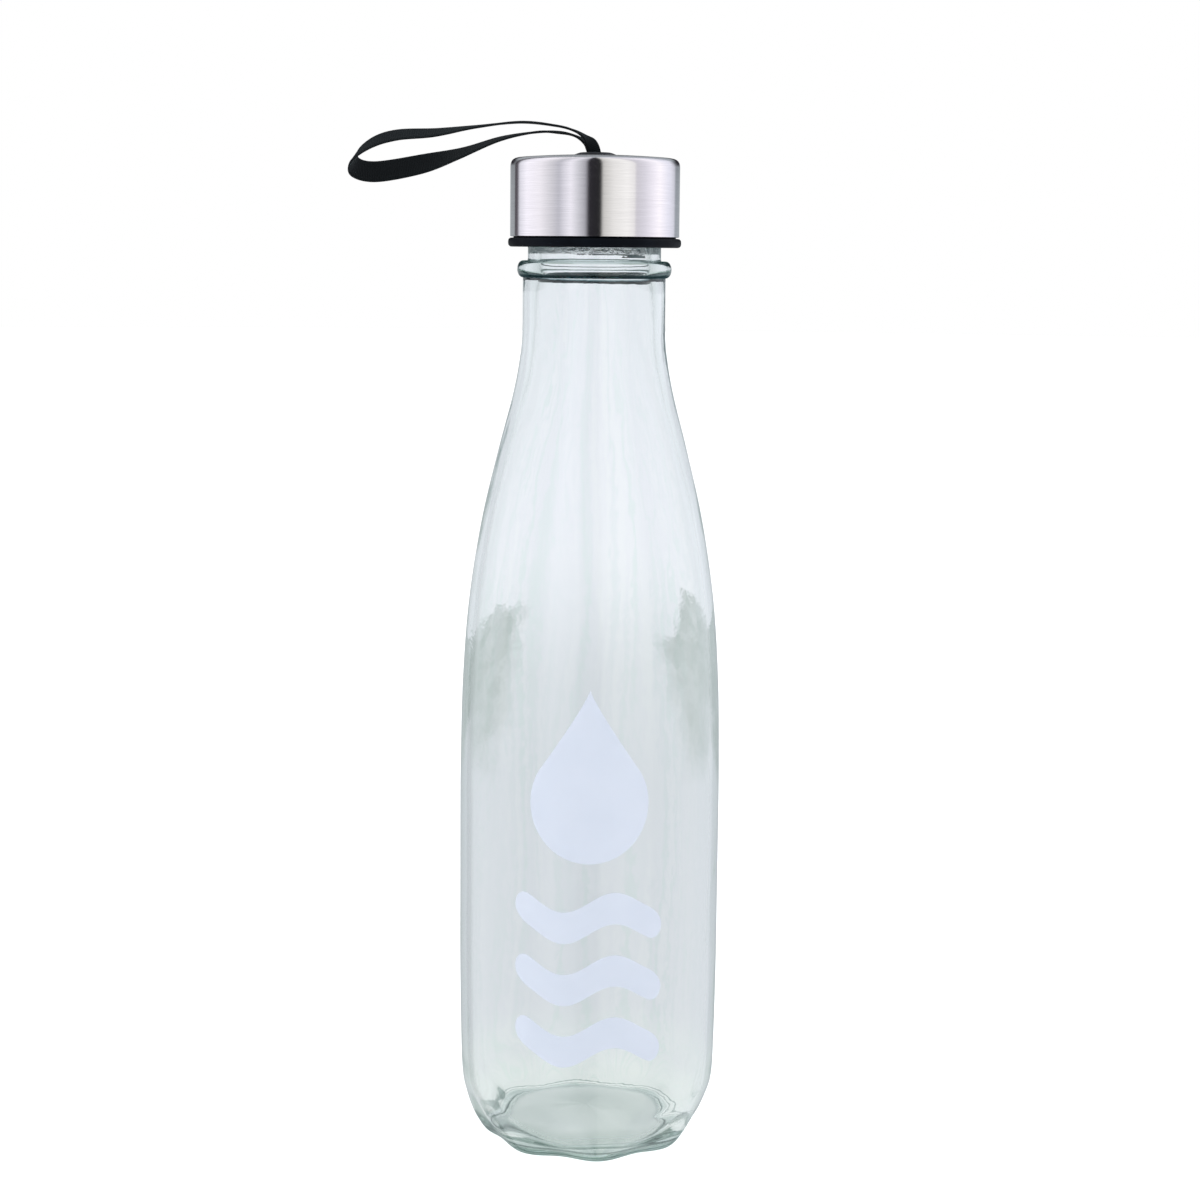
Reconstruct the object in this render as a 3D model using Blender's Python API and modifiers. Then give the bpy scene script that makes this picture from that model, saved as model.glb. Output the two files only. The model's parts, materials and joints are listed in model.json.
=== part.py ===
"""Glass water bottle with a screw cap and a strap loop, as separate solids in one frame.

Frame: +Z up, metres, the table at z = 0. The origin is the middle of the whole footprint (bottle and
strap loop together), so the bottle's own axis stands AXIS_X along +X. Heights in the constants are
millimetres above the table, radii are millimetres from the bottle's axis. The strap loop lies to -X
and the front is -Y.
"""

import math

import bmesh
import bpy
from mathutils import Vector

MM = 0.001

# ---------------------------------------------------------------- driving dimensions (mm)
BODY_R = 32.5            # widest radius of the glass body
NECK_R = 17.4            # plain neck under the carrying bead
FINISH_R = 16.2          # glass wall that carries the thread
BORE_R = 13.4            # mouth opening
BEAD_R = 18.8            # carrying bead
BEAD_LOW, BEAD_HIGH = 215.8, 220.1
RIM_Z = 237.3            # mouth rim
SHOULDER = ((205.0, 17.4), (198.5, 17.75), (188.5, 19.45), (174.0, 23.2), (156.5, 27.3),
            (136.5, 30.4), (116.5, 31.9), (97.0, 32.4), (84.0, 32.5))   # height, outer radius
WALL = 2.2               # body wall
NECK_WALL = 3.0
FLOOR_Z = 5.2            # inside floor at the axis
HEEL_R = 8.5             # rounding between the inside floor and wall
HEEL_CENTRE = (BODY_R - WALL - HEEL_R, FLOOR_Z + 0.3 + HEEL_R)

FOOT_INNER_R, FOOT_RING_R, FOOT_R = 19.5, 21.8, 25.0    # punt edge, bearing ring, lobe contact
PUNT_Z = 2.4
LOBES = 8
LOBE_PHASE = math.radians(-90 + 7.5)                    # one lobe just right of the front
LOBE_INSET, LOBE_LIFT, LOBE_TOP = 1.3, 0.45, 17.0       # how far a valley goes in, up, and to what height

LEAD = 4.6               # thread rise per turn
THREAD_R = 1.35          # radius of a rounded thread ridge
THREAD_Z = 222.6         # where the glass thread begins
GLASS_TURNS = 1.75
LINER_START, LINER_TURNS = 0.1, 1.2                     # in turns after the glass thread's beginning

SHELL_R, SHELL_T = 20.55, 0.5                           # drawn steel cap
SHELL_LOW, SHELL_CORNER_Z, SHELL_TOP = 225.8, 242.6, 245.4
SHELL_HOLE_R, CROWN = 3.45, 0.75
FLANGE_R, FLANGE_LOW, FLANGE_HIGH = 21.05, 223.3, 225.5
LINER_R, LINER_BORE_R = 19.75, 17.85
LINER_CEILING, LINER_TOP = 239.4, 241.0
SEAL_R, SEAL_LOW, SEAL_HIGH = 17.2, 237.6, 239.1
SEAL_LIP_R, SEAL_HOLE_R, SEAL_LIP_LOW = 13.0, 12.0, 235.6

EYELET_R, EYELET_TOP, EYELET_SEAT = 5.15, 246.0, 245.65
EYELET_BARREL_R, EYELET_BORE_R, EYELET_FOOT_R, EYELET_LOW = 3.1, 2.4, 4.3, 243.9
FERRULE_R, FERRULE_HOLE_R, FERRULE_LOW, FERRULE_HIGH = 4.0, 2.25, 241.35, 243.5

PIVOT_Z = 247.65         # the strap folds over here, just above the eyelet
FOLD_R, FOLD_LENGTH = 1.35, 2.6
ROOT_LOW, ROOT_HIGH = 241.4, 245.95
ROOT_WIDTH, ROOT_DEPTH = 3.2, 1.9
RIBBON_WIDTH, RIBBON_T = 6.0, 0.55
LOOP_REACH = 59.8        # from the bottle's axis to the far end of the loop

AXIS_X = (LOOP_REACH - BODY_R) / 2                      # puts the origin in the middle of the footprint

# The ribbon's middle line from the fold out along the upper strand, round the end and back along the
# lower one: x and z from the fold, y across, full width, and the direction its width lies in.
RIBBON = (
    (0.0, -0.6, 0.1, 2.2, (1.0, 0.0, 0.0)),
    (-0.3, -0.55, 1.0, 2.2, (1.0, 0.05, 0.35)),
    (-2.8, -0.5, 2.3, 2.2, (0.35, 0.9, 0.5)),
    (-8.3, -0.5, 4.15, 4.8, (0.0, 1.0, 0.1)),
    (-18.0, -0.5, 5.35, 6.0, (0.0, 1.0, 0.03)),
    (-29.0, -1.2, 4.1, 6.0, (0.0, 1.0, 0.12)),
    (-38.5, -2.2, 2.65, 6.0, (0.0, 1.0, 0.38)),
    (-47.3, -3.2, 1.95, 6.0, (0.0, 1.0, 0.5)),
    (-53.2, -3.0, 0.2, 6.0, (0.15, 1.0, 0.6)),
    (-57.6, -1.2, -2.9, 6.0, (0.45, 1.0, 0.8)),
    (-57.9, 1.3, -5.6, 6.0, (0.3, 0.8, 0.9)),
    (-53.0, 2.9, -6.6, 5.8, (0.0, 0.6, 1.0)),
    (-42.5, 2.7, -4.8, 5.7, (0.1, 0.65, 1.0)),
    (-32.7, 1.9, -2.1, 6.0, (0.1, 1.0, 0.55)),
    (-22.8, 0.9, 1.45, 6.0, (0.05, 1.0, 0.2)),
    (-14.1, 0.7, 3.1, 6.0, (0.0, 1.0, 0.04)),
    (-8.0, 0.6, 2.95, 4.8, (0.0, 1.0, 0.1)),
    (-2.9, 0.5, 1.35, 2.2, (0.35, 0.9, 0.5)),
    (-0.4, 0.6, 0.0, 2.2, (1.0, 0.0, 0.35)),
)

BODY_STEPS, CAP_STEPS, SMALL_STEPS = 48, 40, 24


# ---------------------------------------------------------------- scene helpers
def clear_scene():
    for obj in list(bpy.data.objects):
        bpy.data.objects.remove(obj, do_unlink=True)
    for coll in list(bpy.data.collections):
        bpy.data.collections.remove(coll)


def collection(name):
    coll = bpy.data.collections.new(name)
    bpy.context.scene.collection.children.link(coll)
    return coll


def material(name, colour, roughness, metallic=0.0, transmission=0.0):
    mat = bpy.data.materials.new(name)
    mat.use_nodes = True
    shader = mat.node_tree.nodes["Principled BSDF"]
    shader.inputs["Base Color"].default_value = (*colour, 1.0)
    shader.inputs["Roughness"].default_value = roughness
    shader.inputs["Metallic"].default_value = metallic
    shader.inputs["Transmission Weight"].default_value = transmission
    mat.diffuse_color = (*colour, 1.0)
    return mat


def empty(name, parent, location):
    obj = bpy.data.objects.new(name, None)
    obj.empty_display_size = 10 * MM
    obj.parent = parent
    obj.location = Vector(location) * MM
    PARTS.objects.link(obj)
    return obj


def add(name, mesh, mat, parent, z=0.0, coll=None):
    """A new object standing z mm above its parent."""
    obj = bpy.data.objects.new(name, mesh)
    if mat:
        mesh.materials.append(mat)
    (coll or PARTS).objects.link(obj)
    obj.parent = parent
    obj.location = (0.0, 0.0, z * MM)
    return obj


def helper(obj):
    obj.hide_render = True
    obj.display_type = "WIRE"
    return obj


def evaluated_mesh(obj):
    bpy.context.view_layer.update()
    graph = bpy.context.evaluated_depsgraph_get()
    return bpy.data.meshes.new_from_object(obj.evaluated_get(graph))


# ---------------------------------------------------------------- shape helpers
def smoothstep(low, high, value):
    t = min(max((value - low) / (high - low), 0.0), 1.0)
    return t * t * (3 - 2 * t)


def arc(r, z, radius, start, end, steps):
    """Points on a circle in the profile plane, angles in degrees."""
    angles = [math.radians(start + (end - start) * i / steps) for i in range(steps + 1)]
    return [(r + radius * math.cos(a), z + radius * math.sin(a)) for a in angles]


def hermite(stations, u):
    """A smooth curve through equally spaced stations, u from 0 to len - 1."""
    i = min(int(u), len(stations) - 2)
    t = u - i
    p0, p1 = Vector(stations[i]), Vector(stations[i + 1])
    m0 = (p1 - Vector(stations[i - 1])) / 2 if i else p1 - p0
    m1 = (Vector(stations[i + 2]) - p0) / 2 if i + 2 < len(stations) else p1 - p0
    a, b = 2 * t**3 - 3 * t**2 + 1, t**3 - 2 * t**2 + t
    c, d = -2 * t**3 + 3 * t**2, t**3 - t**2
    return p0 * a + m0 * b + p1 * c + m1 * d


def turned(name, profile, steps, mat, parent, z, closed=True):
    """A profile of (radius, height) in mm, turned about Z. Its outer side runs top to bottom."""
    mesh = bpy.data.meshes.new(name)
    points = [(r * MM, 0.0, (height - z) * MM) for r, height in profile]
    edges = [(i, i + 1) for i in range(len(points) - 1)]
    if closed:
        edges.append((len(points) - 1, 0))
    mesh.from_pydata(points, edges, [])
    obj = add(name, mesh, mat, parent, z)
    screw = obj.modifiers.new("turn", "SCREW")
    screw.axis = "Z"
    screw.angle = math.tau
    screw.steps = screw.render_steps = steps
    screw.use_merge_vertices = True
    screw.merge_threshold = 0.00001
    screw.use_smooth_shade = True
    return obj


def thread_ridge(name, radius, start_turn, turns, parent):
    """A rounded ridge on the common helix, fading into the wall at both ends."""
    per_turn = 32
    count = round(turns * per_turn) + 1
    curve = bpy.data.curves.new(name, "CURVE")
    curve.dimensions = "3D"
    curve.bevel_depth = THREAD_R * MM
    curve.bevel_resolution = 1
    curve.use_fill_caps = True
    curve.twist_mode = "Z_UP"
    spline = curve.splines.new("POLY")
    spline.points.add(count - 1)
    for i, point in enumerate(spline.points):
        turn = start_turn + turns * i / (count - 1)
        angle = math.tau * turn
        x, y = radius * math.cos(angle), radius * math.sin(angle)
        point.co = (x * MM, y * MM, LEAD * turn * MM, 1.0)
        fade = smoothstep(0, 5, min(i, count - 1 - i))
        point.radius = 0.12 + 0.88 * fade
    guide = bpy.data.objects.new(name + "_curve", curve)
    HELPERS.objects.link(guide)
    mesh = evaluated_mesh(guide)
    bpy.data.objects.remove(guide)
    bm = bmesh.new()
    bm.from_mesh(mesh)
    bmesh.ops.remove_doubles(bm, verts=bm.verts, dist=1e-6)
    bmesh.ops.recalc_face_normals(bm, faces=bm.faces)
    bm.to_mesh(mesh)
    bm.free()
    return helper(add(name, mesh, None, parent, THREAD_Z, HELPERS))


def join_to(obj, other):
    union = obj.modifiers.new("join_" + other.name, "BOOLEAN")
    union.operation = "UNION"
    union.object = other


# ---------------------------------------------------------------- the glass
def glass_profile():
    """Axis of the floor, out and up the inside, over the rim, down the outside and under the foot."""
    inner = [(0.0, FLOOR_Z), (10.0, FLOOR_Z + 0.15)]
    inner += arc(HEEL_CENTRE[0], HEEL_CENTRE[1], HEEL_R, -90, 0, 5)
    inner += [(BODY_R - WALL, 50.0)]
    for z, r in reversed(SHOULDER):
        inner.append((r - WALL - (NECK_WALL - WALL) * smoothstep(130, 205, z), z))
    inner += [(BORE_R + 0.8, BEAD_LOW), (BORE_R, BEAD_HIGH), (BORE_R, RIM_Z - 0.8)]
    rim = [(BORE_R + 0.8, RIM_Z), (FINISH_R - 0.8, RIM_Z), (FINISH_R - 0.2, RIM_Z - 0.25),
           (FINISH_R, RIM_Z - 0.8), (FINISH_R, BEAD_HIGH + 0.6)]
    middle, half, swell = (BEAD_LOW + BEAD_HIGH) / 2, (BEAD_HIGH - BEAD_LOW) / 2, BEAD_R - NECK_R
    bead = [(NECK_R + swell * math.sqrt(1 - t * t), middle + half * t)
            for t in (0.98, 0.8, 0.45, 0.0, -0.45, -0.8, -0.98)]
    bead.append((NECK_R, BEAD_LOW - 0.6))
    spans = [hermite(SHOULDER, i / 2) for i in range(2 * len(SHOULDER) - 1)]
    body = [(p.y, p.x) for p in spans]
    heel = [(BODY_R, 45.0), (BODY_R - 0.25, 26.0), (BODY_R - 0.65, 15.5), (BODY_R - 1.6, 10.6),
            (BODY_R - 3.1, 6.0), (BODY_R - 5.0, 2.4), (BODY_R - 6.4, 0.6), (FOOT_R, 0.0)]
    under = [(FOOT_RING_R, 0.0), (FOOT_INNER_R, 0.0), (FOOT_INNER_R - 2.5, 1.3), (13.0, PUNT_Z),
             (0.0, PUNT_Z)]
    return inner + rim + bead + body + heel + under


def press_lobes(mesh):
    """Press soft valleys between the feet into the outside of the heel; the bearing ring stays flat."""
    for vertex in mesh.vertices:
        x, y, z = (c / MM for c in vertex.co)
        r = math.hypot(x, y)
        inside = math.hypot(r - HEEL_CENTRE[0], z - HEEL_CENTRE[1]) < HEEL_R + 0.5
        if inside or r < FOOT_RING_R + 0.1 or z > LOBE_TOP:
            continue
        valley = 0.5 - 0.5 * math.cos(LOBES * (math.atan2(y, x) - LOBE_PHASE))
        fade = 1 - smoothstep(1.0, LOBE_TOP, z)
        keep = 1 - LOBE_INSET * valley * fade / r
        vertex.co = (x * keep * MM, y * keep * MM, (z + LOBE_LIFT * valley * fade) * MM)


def glass_bottle(parent, mat):
    blank = turned("glass_blank", glass_profile(), BODY_STEPS, mat, None, 0.0, closed=False)
    mesh = evaluated_mesh(blank)
    bpy.data.objects.remove(blank)
    press_lobes(mesh)
    mesh.shade_smooth()
    mesh.set_sharp_from_angle(angle=math.radians(50))
    mesh.name = "glass_bottle"
    obj = bpy.data.objects.new("glass_bottle", mesh)
    PARTS.objects.link(obj)
    obj.parent = parent
    join_to(obj, thread_ridge("glass_thread", FINISH_R - 0.1, 0.0, GLASS_TURNS, parent))
    return obj


# ---------------------------------------------------------------- the cap
def crown(r, top):
    """Height of the gently domed top at radius r."""
    return top - CROWN * (r / (SHELL_R - 2.0)) ** 2


def cap_shell(parent, mat):
    shoulder_r = SHELL_R - 2.0
    top = [(r, crown(r, SHELL_TOP)) for r in (SHELL_HOLE_R, 10.0, shoulder_r)]
    corner = arc(shoulder_r, SHELL_CORNER_Z, 2.0, 72, 0, 3)
    inner_r = SHELL_R - SHELL_T
    inner_corner = arc(shoulder_r, SHELL_CORNER_Z, 1.5, 0, 72, 3)
    under = [(r, crown(r, SHELL_TOP - SHELL_T)) for r in (shoulder_r, 10.0, SHELL_HOLE_R)]
    profile = top + corner + [(SHELL_R, SHELL_LOW), (inner_r, SHELL_LOW)] + inner_corner + under
    return turned("cap_shell", profile, CAP_STEPS, mat, parent, SHELL_LOW)


def cap_liner(parent, mat):
    bead_mid, bead_half = (FLANGE_LOW + FLANGE_HIGH) / 2, (FLANGE_HIGH - FLANGE_LOW) / 2
    bead = [(FLANGE_R - 0.75, FLANGE_HIGH), (FLANGE_R - 0.2, FLANGE_HIGH - 0.25),
            (FLANGE_R, bead_mid + 0.3 * bead_half), (FLANGE_R, bead_mid - 0.3 * bead_half),
            (FLANGE_R - 0.2, FLANGE_LOW + 0.25), (FLANGE_R - 0.8, FLANGE_LOW)]
    profile = [(0.0, LINER_TOP), (LINER_R - 1.0, LINER_TOP), (LINER_R, LINER_TOP - 1.0),
               (LINER_R, FLANGE_HIGH)] + bead
    profile += [(LINER_BORE_R + 0.6, FLANGE_LOW), (LINER_BORE_R, FLANGE_LOW + 0.6),
                (LINER_BORE_R, LINER_CEILING), (0.0, LINER_CEILING)]
    obj = turned("cap_liner", profile, CAP_STEPS, mat, parent, FLANGE_LOW, closed=False)
    ridge = thread_ridge("liner_thread", LINER_BORE_R + 0.25, LINER_START, LINER_TURNS, parent)
    ridge.location.z += LEAD / 2 * MM
    join_to(obj, ridge)
    return obj


def seal_ring(parent, mat):
    profile = [(SEAL_HOLE_R, SEAL_HIGH), (SEAL_R, SEAL_HIGH), (SEAL_R, SEAL_LOW),
               (SEAL_LIP_R, SEAL_LOW), (SEAL_LIP_R, SEAL_LIP_LOW + 0.5),
               (SEAL_LIP_R - 0.4, SEAL_LIP_LOW), (SEAL_HOLE_R, SEAL_LIP_LOW)]
    return turned("seal_ring", profile, CAP_STEPS, mat, parent, SEAL_LOW)


def strap_eyelet(parent, mat):
    profile = [(EYELET_BORE_R, EYELET_TOP - 0.05), (EYELET_R - 0.6, EYELET_TOP),
               (EYELET_R, EYELET_SEAT + 0.15), (EYELET_R, EYELET_SEAT),
               (EYELET_BARREL_R, EYELET_SEAT), (EYELET_BARREL_R, EYELET_LOW + 0.6),
               (EYELET_FOOT_R, EYELET_LOW + 0.5), (EYELET_FOOT_R, EYELET_LOW),
               (EYELET_BORE_R, EYELET_LOW)]
    return turned("strap_eyelet", profile, SMALL_STEPS, mat, parent, EYELET_SEAT)


# ---------------------------------------------------------------- the strap
def strap_ferrule(parent, mat):
    profile = [(FERRULE_HOLE_R, FERRULE_HIGH), (FERRULE_R - 0.4, FERRULE_HIGH),
               (FERRULE_R, FERRULE_HIGH - 0.4), (FERRULE_R, FERRULE_LOW + 0.4),
               (FERRULE_R - 0.4, FERRULE_LOW), (FERRULE_HOLE_R, FERRULE_LOW)]
    return turned("strap_ferrule", profile, SMALL_STEPS, mat, parent, FERRULE_LOW)


def strap_root(parent, mat):
    bm = bmesh.new()
    bmesh.ops.create_cube(bm, size=1.0)
    size = Vector((ROOT_WIDTH, ROOT_DEPTH, ROOT_HIGH - ROOT_LOW)) * MM
    bmesh.ops.scale(bm, vec=size, verts=bm.verts)
    mesh = bpy.data.meshes.new("strap_root")
    bm.to_mesh(mesh)
    bm.free()
    obj = add("strap_root", mesh, mat, parent, (ROOT_LOW + ROOT_HIGH) / 2)
    bevel = obj.modifiers.new("soft_edges", "BEVEL")
    bevel.width = 0.45 * MM
    bevel.segments = 2
    return obj


def ribbon_strip():
    """The loop's middle surface: rungs across the ribbon, laid along its middle line."""
    count = 3 * (len(RIBBON) - 1) + 1
    places = [(x, y, z) for x, y, z, _, _ in RIBBON]
    across = [direction for *_, direction in RIBBON]
    widths = [(width, 0.0, 0.0) for _, _, _, width, _ in RIBBON]
    params = [i / 3 for i in range(count)]
    line = [hermite(places, u) for u in params]
    bm = bmesh.new()
    rungs = []
    for i, u in enumerate(params):
        tangent = (line[min(i + 1, count - 1)] - line[max(i - 1, 0)]).normalized()
        side = hermite(across, u)
        side = (side - tangent * side.dot(tangent)).normalized()
        half = hermite(widths, u).x / 2
        rungs.append([bm.verts.new((line[i] + side * (s * half)) * MM) for s in (-1, 0, 1)])
    for a, b in zip(rungs, rungs[1:]):
        bm.faces.new((a[0], b[0], b[1], a[1]))
        bm.faces.new((a[1], b[1], b[2], a[2]))
    reach = min(vertex.co.x for vertex in bm.verts)
    for vertex in bm.verts:                     # the far end lands on LOOP_REACH
        vertex.co.x *= -(LOOP_REACH * MM - RIBBON_T / 2 * MM) / reach
    mesh = bpy.data.meshes.new("strap_loop")
    bm.to_mesh(mesh)
    bm.free()
    mesh.shade_smooth()
    return mesh


def strap_loop(parent, mat):
    obj = add("strap_loop", ribbon_strip(), mat, parent)
    solidify = obj.modifiers.new("thickness", "SOLIDIFY")
    solidify.thickness = RIBBON_T * MM
    solidify.offset = 0.0
    bm = bmesh.new()
    bmesh.ops.create_cone(bm, cap_ends=True, segments=SMALL_STEPS, radius1=FOLD_R * MM,
                          radius2=FOLD_R * MM, depth=FOLD_LENGTH * MM)
    mesh = bpy.data.meshes.new("strap_fold")
    bm.to_mesh(mesh)
    bm.free()
    fold = helper(add("strap_fold", mesh, None, parent, 0.0, HELPERS))
    fold.rotation_euler.x = math.pi / 2
    join_to(obj, fold)
    return obj


# ---------------------------------------------------------------- assembly
clear_scene()
PARTS = collection("water_bottle")
HELPERS = collection("helpers")

glass = material("glass", (0.86, 0.94, 0.92), 0.02, transmission=1.0)
steel = material("brushed_steel", (0.62, 0.62, 0.64), 0.28, metallic=1.0)
black_plastic = material("black_plastic", (0.02, 0.02, 0.022), 0.4)
eyelet_plastic = material("eyelet_plastic", (0.03, 0.03, 0.032), 0.5)
silicone = material("silicone", (0.82, 0.84, 0.84), 0.55)
crimp_metal = material("crimp_metal", (0.55, 0.55, 0.56), 0.4, metallic=1.0)
ribbon_black = material("ribbon", (0.012, 0.015, 0.018), 0.85)

bottle_axis = empty("bottle_axis", None, (AXIS_X, 0, 0))
cap_axis = empty("cap_axis", bottle_axis, (0, 0, 0))
swivel_axis = empty("swivel_axis", cap_axis, (0, 0, 0))
swing_axis = empty("swing_axis", swivel_axis, (0, 0, PIVOT_Z))

glass_bottle(bottle_axis, glass)
seal_ring(bottle_axis, silicone)
cap_shell(cap_axis, steel)
cap_liner(cap_axis, black_plastic)
strap_eyelet(cap_axis, eyelet_plastic)
strap_ferrule(swivel_axis, crimp_metal)
strap_root(swivel_axis, ribbon_black)
strap_loop(swing_axis, ribbon_black)
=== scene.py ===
"""Looks for the glass water bottle: fine turned surfaces, a woven ribbon, printed ink and studio light.

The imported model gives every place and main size. Lengths below are millimetres: heights above the
table, radii from the bottle's axis. Shapes are built in the model's own frame, in metres.
"""

import json
import math

import bmesh
import bpy
from mathutils import Matrix, Vector, noise


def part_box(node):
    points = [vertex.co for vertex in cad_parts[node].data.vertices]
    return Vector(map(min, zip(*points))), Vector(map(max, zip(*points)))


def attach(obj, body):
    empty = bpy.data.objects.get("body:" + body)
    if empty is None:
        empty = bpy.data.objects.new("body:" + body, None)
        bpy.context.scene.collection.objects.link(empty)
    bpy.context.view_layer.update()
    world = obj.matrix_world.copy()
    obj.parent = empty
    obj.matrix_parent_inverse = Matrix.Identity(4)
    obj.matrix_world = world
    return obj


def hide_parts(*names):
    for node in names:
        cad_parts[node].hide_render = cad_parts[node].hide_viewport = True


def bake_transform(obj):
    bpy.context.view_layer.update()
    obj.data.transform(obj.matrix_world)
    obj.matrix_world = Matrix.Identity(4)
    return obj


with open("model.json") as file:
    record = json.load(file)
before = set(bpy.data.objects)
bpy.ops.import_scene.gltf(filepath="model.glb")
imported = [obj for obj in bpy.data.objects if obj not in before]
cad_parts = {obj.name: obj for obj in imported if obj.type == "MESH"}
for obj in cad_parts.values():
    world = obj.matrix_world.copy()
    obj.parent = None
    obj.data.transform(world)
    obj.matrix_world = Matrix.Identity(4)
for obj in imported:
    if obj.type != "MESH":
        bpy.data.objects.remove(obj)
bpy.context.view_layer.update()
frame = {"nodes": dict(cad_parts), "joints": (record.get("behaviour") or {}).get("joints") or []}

MM = 0.001


def in_mm(node):
    """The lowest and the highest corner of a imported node, in millimetres."""
    low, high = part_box(node)
    return low / MM, high / MM


# ---------------------------------------------------------------- sizes taken from the frame (mm)
GLASS_LOW, GLASS_HIGH = in_mm("glass_bottle")
SHELL_LOW_CORNER, SHELL_HIGH_CORNER = in_mm("cap_shell")
LINER_LOW_CORNER, LINER_HIGH_CORNER = in_mm("cap_liner")
SEAL_LOW_CORNER, SEAL_HIGH_CORNER = in_mm("seal_ring")
EYELET_LOW_CORNER, EYELET_HIGH_CORNER = in_mm("strap_eyelet")
ROOT_LOW_CORNER, _ = in_mm("strap_root")
LOOP_LOW_CORNER, _ = in_mm("strap_loop")

AXIS_X = (SHELL_LOW_CORNER.x + SHELL_HIGH_CORNER.x) / 2
BODY_R = (GLASS_HIGH.x - GLASS_LOW.x) / 2
RIM_Z = GLASS_HIGH.z
SHELL_R = (SHELL_HIGH_CORNER.x - SHELL_LOW_CORNER.x) / 2
SHELL_LOW, SHELL_TOP = SHELL_LOW_CORNER.z, SHELL_HIGH_CORNER.z
FLANGE_R = (LINER_HIGH_CORNER.x - LINER_LOW_CORNER.x) / 2
FLANGE_LOW, LINER_TOP = LINER_LOW_CORNER.z, LINER_HIGH_CORNER.z
SEAL_R = (SEAL_HIGH_CORNER.x - SEAL_LOW_CORNER.x) / 2
SEAL_LIP_LOW, SEAL_HIGH = SEAL_LOW_CORNER.z, SEAL_HIGH_CORNER.z
EYELET_R = (EYELET_HIGH_CORNER.x - EYELET_LOW_CORNER.x) / 2
EYELET_LOW, EYELET_TOP = EYELET_LOW_CORNER.z, EYELET_HIGH_CORNER.z
SWING = next(joint for joint in frame["joints"] if joint["name"] == "strap_swing")
PIVOT_Z = SWING["pos_m"][2] / MM
LOOP_REACH = AXIS_X - LOOP_LOW_CORNER.x

# ---------------------------------------------------------------- glass (mm)
NECK_R, FINISH_R, BORE_R = 17.4, 16.2, 13.4
BEAD_R, BEAD_Z, BEAD_HALF = 18.8, 218.0, 2.05
OUTSIDE = ((205.0, 17.4), (198.5, 17.75), (188.5, 19.45), (174.0, 23.2), (156.5, 27.3),
           (136.5, 30.4), (116.5, 31.9), (97.0, 32.4), (84.0, 32.5), (64.0, 32.5), (45.0, 32.5),
           (26.0, 32.25), (15.5, 31.85), (10.6, 30.9), (6.0, 29.4), (2.4, 27.5), (0.6, 26.1),
           (0.0, 25.0))                        # height, outer radius
WALL, NECK_WALL, THICKENING = 2.2, 3.0, (130, 205)  # the wall thickens between these heights
BELOW_RIM, RIM_ROUND = RIM_Z - 1.2, 0.8
INSIDE_NECK = ((14.35, 209.0), (14.25, 213.5), (13.85, 217.5), (13.45, 220.5), (BORE_R, 222.0),
               (BORE_R, BELOW_RIM))            # radius, height
FINISH_LOW, THREAD_STEP = 220.6, 0.28          # the threaded part's lower end; how close its points are
FLOOR_Z, FLOOR_R, FLOOR_EDGE_Z = 5.2, 21.6, 2.7  # inside floor: height in the middle, and its edge
INSIDE_HEEL = ((FLOOR_R, FLOOR_EDGE_Z), (23.6, 3.0), (25.5, 4.1), (27.2, 6.4), (28.6, 10.2),
               (29.5, 15.2))                   # radius, height
FOOT_INNER_R, FOOT_RING_R, LOBE_ROOT_R = 19.5, 21.8, 23.4
PUNT_Z = 0.9                                   # how far the underside's middle is pushed up
LOBES, LOBE_PHASE = 8, math.radians(-90 + 7.5)  # a lobe's middle is 7.5 degrees right of the front
LOBE_INSET, LOBE_LIFT = 1.3, 0.45              # how far the foot is pressed in and up between lobes
LOBE_LOW, LOBE_TOP = 1.0, 17.0                 # the pressing fades out between these heights
KNURLS, KNURL_DEPTH = 64, 0.07                 # stippled marks on the bearing ring
LEAD, THREAD_Z, THREAD_TURNS, THREAD_HEIGHT, THREAD_HALF = 4.6, 222.6, 1.75, 1.2, 1.55
THREAD_FADE, RIDGE_SHAPE = 0.14, 0.75          # turns over which a thread rises; below 1 is fuller
# How uneven the thread and the blown inside wall are: depth, then how fine round and up the bottle.
CHILL, CHILL_ROUND, CHILL_UP = 0.12, 19, 1.9
UNEVEN, UNEVEN_ROUND, UNEVEN_UP = 0.16, 1.3, 0.022
UNEVEN_LOW, UNEVEN_HIGH = (FLOOR_Z, 40), (208, 222)  # where the wall's unevenness starts and ends

# ---------------------------------------------------------------- cap (mm)
SHELL_T, SHELL_CORNER, SHELL_HOLE_R, SHELL_HEM = 0.5, 2.0, 3.45, 0.18
CROWN, CROWN_R = 0.75, SHELL_R - 2.0           # how far the domed top has dropped, and at what radius
TOP_R, TOP_RINGS = SHELL_R - 2.4, 14           # the domed top's edge, and its steps from hole to edge
FLANGE_HIGH = SHELL_LOW - 0.3
LINER_R, LINER_BORE_R, LINER_CEILING = 19.75, 17.85, 239.4
LINER_THREAD_START, LINER_THREAD_TURNS, LINER_THREAD_HEIGHT = 0.1, 1.2, 1.0
SEAL_LIP_R, SEAL_HOLE_R, SEAL_LOW = 13.0, 12.0, 237.6
EYELET_BARREL_R, EYELET_BORE_R, EYELET_FOOT_R = 3.1, 2.4, 4.3

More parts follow.
